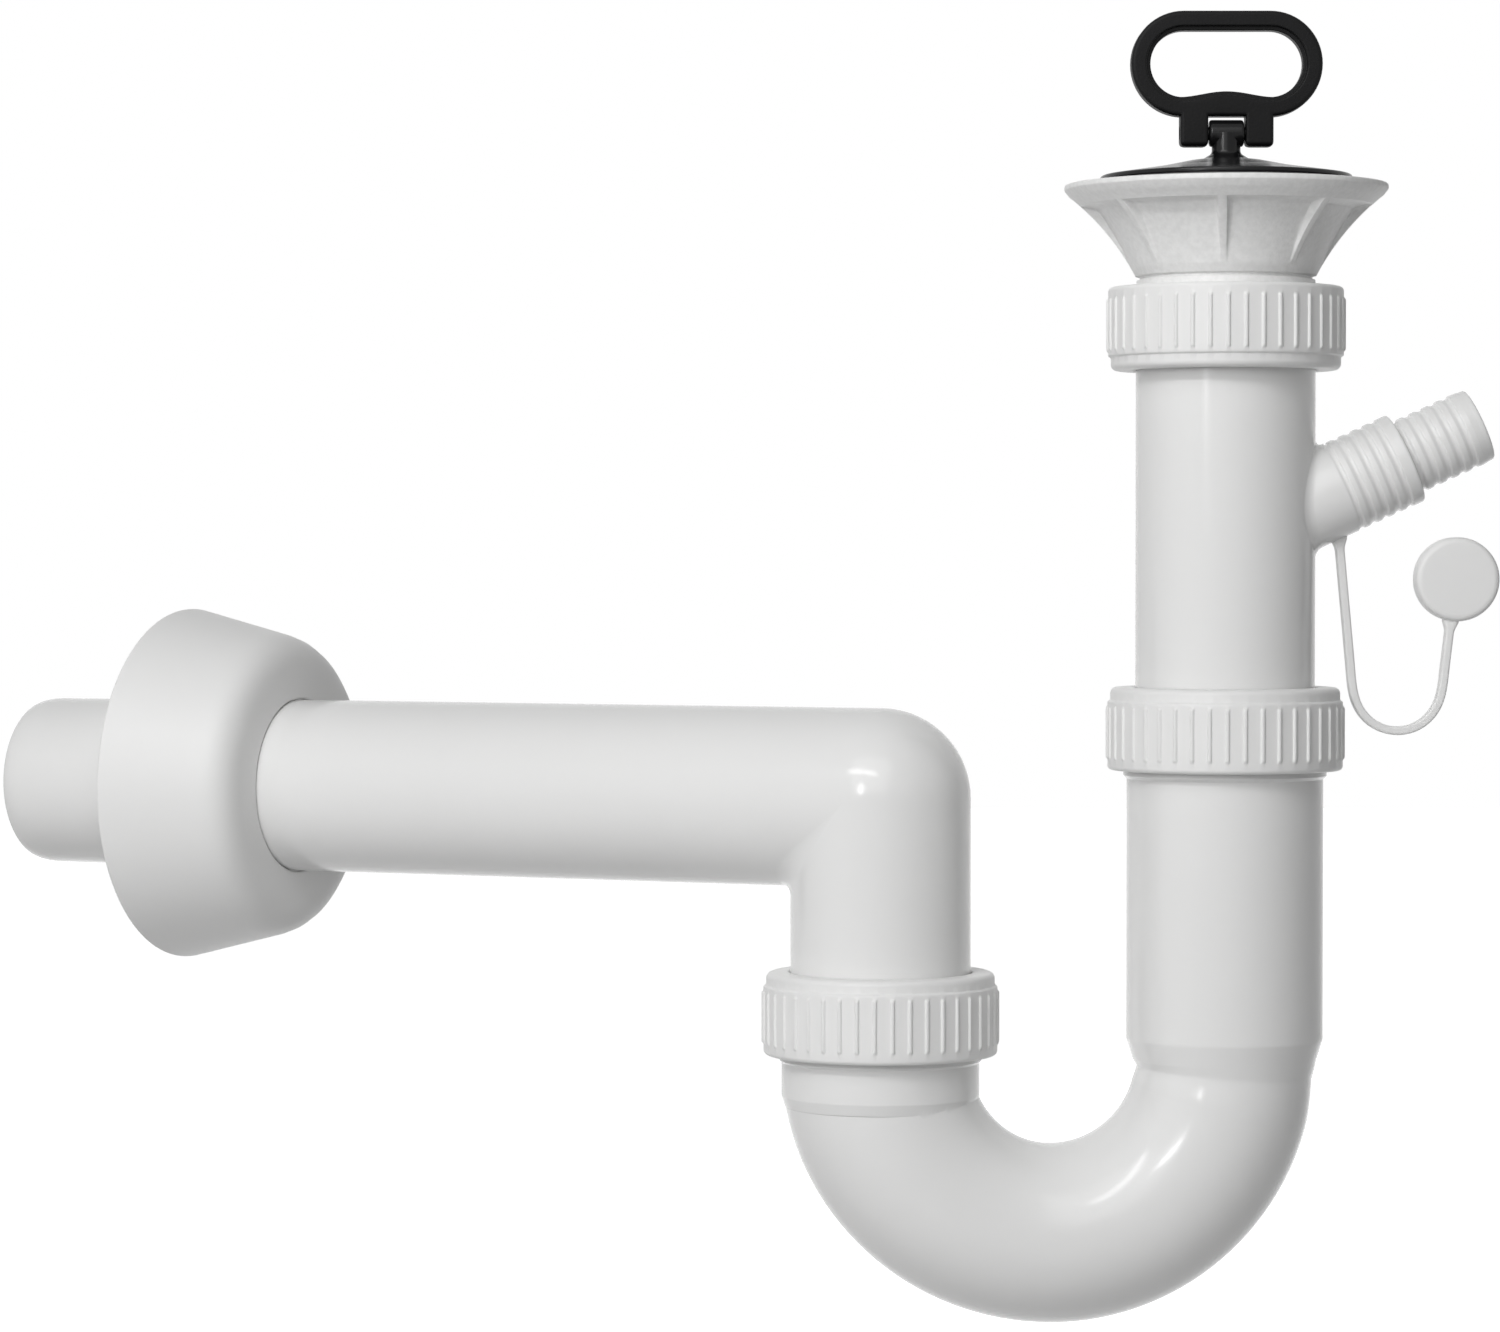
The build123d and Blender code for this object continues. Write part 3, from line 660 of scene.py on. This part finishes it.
finished(skin("outlet_elbow", rings), "outlet", "white_plastic", white, "outlet_pipe")

rosette_outline = rounded((
    (20.5, 149.6, 0.5), (34.3, 150.0, 12.0), (41.7, 180.0, 0.5),
    (39.9, 180.0, 0.4), (32.6, 152.0, 10.0), (20.5, 151.4, 0.3),
))
rosette = lathe("rosette", rosette_outline, axis(ELBOW, RUN), count=192)
finished(rosette, "rosette", "white_plastic", satin, "wall_rosette")

# Plug and its pull handle
plug_outline = rounded((
    (0.3, -0.8), (18.8, -0.8, 0.6), (18.8, -5.5, 0.3), (22.2, -5.5, 0.3), (22.2, -4.2, 0.2),
    (21.0, -4.2, 0.2), (21.0, 0.9, 0.2), (28.0, 0.9, 0.4), (28.0, 2.0, 0.6), (15.0, 4.0, 25.0),
    (8.3, 5.4, 8.0), (5.2, 5.8, 2.0), (3.2, 7.0, 1.2), (3.2, PIVOT), (0.3, PIVOT),
))
plug = lathe("plug_dome", plug_outline, loop=False)
across = axis((0, 0, PIVOT), (1, 0, 0))
pin, head_radius, head_half, pin_half = 1.5, 3.0, 3.85, 9.0
head = rounded((
    (pin, -pin_half), (pin, -head_half, 0.2), (head_radius, -head_half, 0.7),
    (head_radius, head_half, 0.7), (pin, head_half, 0.2), (pin, pin_half),
))
merge(plug, lathe("head", head, across, loop=False, count=64), "UNION")
finished(plug, "stopper", "black_plastic", black_gloss, "plug")


def handle_rings():
    """Rounded bar swept round the stadium, with a stepped inner edge and a swell on its lower run."""
    section = rounded((
        (2.5, -HANDLE_HALF, 1.0), (2.5, HANDLE_HALF, 1.0), (-1.85, HANDLE_HALF, 0.8),
        (-1.85, -1.5, 0.4), (-0.9, -1.5, 0.25), (-0.9, -HANDLE_HALF, 0.4),
    ))
    run_steps, bow_steps = 24, 32
    spots = []
    for way in (1, -1):
        for step in range(run_steps):
            along = HANDLE_STRAIGHT - 2 * HANDLE_STRAIGHT * step / run_steps
            spots.append((Vector((along, HANDLE_BOW)) * way, Vector((0, way))))
        for step in range(bow_steps):
            turn = way * math.pi / 2 + math.pi * step / bow_steps
            out = Vector((math.cos(turn), math.sin(turn)))
            spots.append((Vector((-way * HANDLE_STRAIGHT, 0)) + out * HANDLE_BOW, out))
    swell_reach, swell_height = 11.0, 1.3
    inner_edge = -0.5  # what lies further in swells
    rings = []
    for spot, out in spots:
        swell = 0.0
        if spot.y < 0 and abs(spot.x) < swell_reach:
            swell = swell_height / 2 * (1 + math.cos(math.pi * spot.x / swell_reach))
        ring = []
        for n, y in section:
            place = spot + out * (n - swell if n < inner_edge else n)
            ring.append((place.x, y, HANDLE_CENTRE + place.y))
        rings.append(ring)
    return rings


handle = skin("pull_handle", handle_rings())
lug_near, lug_far = 4.15, 10.4
lug_centre, lug_half = (lug_near + lug_far) / 2, 3.1
section = rounded((
    (lug_near, -HANDLE_HALF, 0.7), (lug_far, -HANDLE_HALF, 0.9),
    (lug_far, HANDLE_HALF, 0.9), (lug_near, HANDLE_HALF, 0.7),
))
for side in (-1, 1):
    lug = []
    for inset, z in ((0.9, 8.5), (0.35, 8.7), (0.08, 9.1), (0.0, 9.6), (0.0, 17.2)):
        narrow, thin = 1 - inset / lug_half, 1 - inset / HANDLE_HALF
        lug.append([(side * (lug_centre + (x - lug_centre) * narrow), y * thin, z) for x, y in section])
    merge(handle, skin("lug", lug, loop=False), "UNION")
eye, eye_reach = 1.55, 12.0
merge(handle, lathe("eye", ((eye, -eye_reach), (eye, eye_reach)), across, loop=False, count=48), "DIFFERENCE")
finished(handle, "handle", "black_plastic", black_satin, "plug_handle")

# Floor, light and camera
FLOOR_HEIGHT, FLOOR_HALF, FLOOR_WHITE = -0.45, 6, 0.92
AMBIENT = 0.12  # strength of the world as a light; it looks white where it is seen
floor_mesh = bpy.data.meshes.new("floor")
quarters = (-1, -1), (1, -1), (1, 1), (-1, 1)
floor_corners = [(x * FLOOR_HALF, y * FLOOR_HALF, FLOOR_HEIGHT) for x, y in quarters]
floor_mesh.from_pydata(floor_corners, [], [(0, 1, 2, 3)])
floor = bpy.data.objects.new("floor", floor_mesh)
bpy.context.scene.collection.objects.link(floor)
pale = bpy.data.materials.new("pale_floor")
pale.use_nodes = True
nodes, links = pale.node_tree.nodes, pale.node_tree.links
shader = nodes["Principled BSDF"]
shader.inputs["Base Color"].default_value = (0.6, 0.6, 0.6, 1)
shader.inputs["Roughness"].default_value = 0.9
shader.inputs["Emission Color"].default_value = (1, 1, 1, 1)
rays = nodes.new("ShaderNodeLightPath")


def seen_directly(nodes, links, rays):
    """Socket that is 1 for camera, glossy and transmitted rays."""
    first = nodes.new("ShaderNodeMath")
    first.operation = "MAXIMUM"
    links.new(rays.outputs["Is Camera Ray"], first.inputs[0])
    links.new(rays.outputs["Is Glossy Ray"], first.inputs[1])
    second = nodes.new("ShaderNodeMath")
    second.operation = "MAXIMUM"
    links.new(first.outputs[0], second.inputs[0])
    links.new(rays.outputs["Is Transmission Ray"], second.inputs[1])
    return second.outputs[0]


glow = nodes.new("ShaderNodeMath")
glow.operation = "MULTIPLY"
glow.inputs[1].default_value = FLOOR_WHITE
links.new(seen_directly(nodes, links, rays), glow.inputs[0])
links.new(glow.outputs[0], shader.inputs["Emission Strength"])
floor_mesh.materials.append(pale)

world = bpy.data.worlds.new("studio")
bpy.context.scene.world = world
world.use_nodes = True
nodes, links = world.node_tree.nodes, world.node_tree.links
sky = nodes["Background"]
sky.inputs["Color"].default_value = (1, 1, 1, 1)
rays = nodes.new("ShaderNodeLightPath")
level = nodes.new("ShaderNodeMapRange")
level.inputs["To Min"].default_value = AMBIENT
level.inputs["To Max"].default_value = 1.0
links.new(seen_directly(nodes, links, rays), level.inputs["Value"])
links.new(level.outputs["Result"], sky.inputs["Strength"])

# A large soft key, two narrow lamps for the double highlight on the bend, a fill from the left,
# and one behind that is kept out of reflections, so that it leaves the outline as it is
target = Vector((-0.09, 0.0, -0.13))
for name, place, size, power in (
    ("key", (-0.37, -0.97, 0.53), (1.0, 1.0), 6.8),
    ("strip", (-0.5, -0.775, 0.495), (0.7, 0.045), 2.6),
    ("column", (-0.57, -0.97, 0.13), (0.07, 0.22), 1.7),
    ("fill", (-1.91, -1.0, 0.33), (1.6, 1.6), 2.6),
    ("back", (-0.09, 1.7, 0.2), (2.0, 0.8), 11.0),
):
    lamp = bpy.data.lights.new(name, "AREA")
    lamp.shape = "RECTANGLE"
    lamp.size, lamp.size_y = size
    lamp.energy = power
    lamp_object = bpy.data.objects.new(name, lamp)
    lamp_object.location = place
    lamp_object.visible_glossy = name != "back"
    lamp_object.rotation_euler = (target - Vector(place)).to_track_quat("-Z", "Y").to_euler()
    bpy.context.scene.collection.objects.link(lamp_object)

CAMERA_PLACE, CAMERA_TILT = (-0.1062, -1.073, -0.0836), 1.265  # metres, and degrees downward
lens = bpy.data.cameras.new("camera")
lens.lens = 115.2
lens.sensor_width = 36.0
camera = bpy.data.objects.new("camera", lens)
camera.location = CAMERA_PLACE
camera.rotation_euler = (math.radians(90 - CAMERA_TILT), 0, 0)
bpy.context.scene.collection.objects.link(camera)
bpy.context.scene.camera = camera
bpy.context.scene.view_settings.view_transform = "Standard"
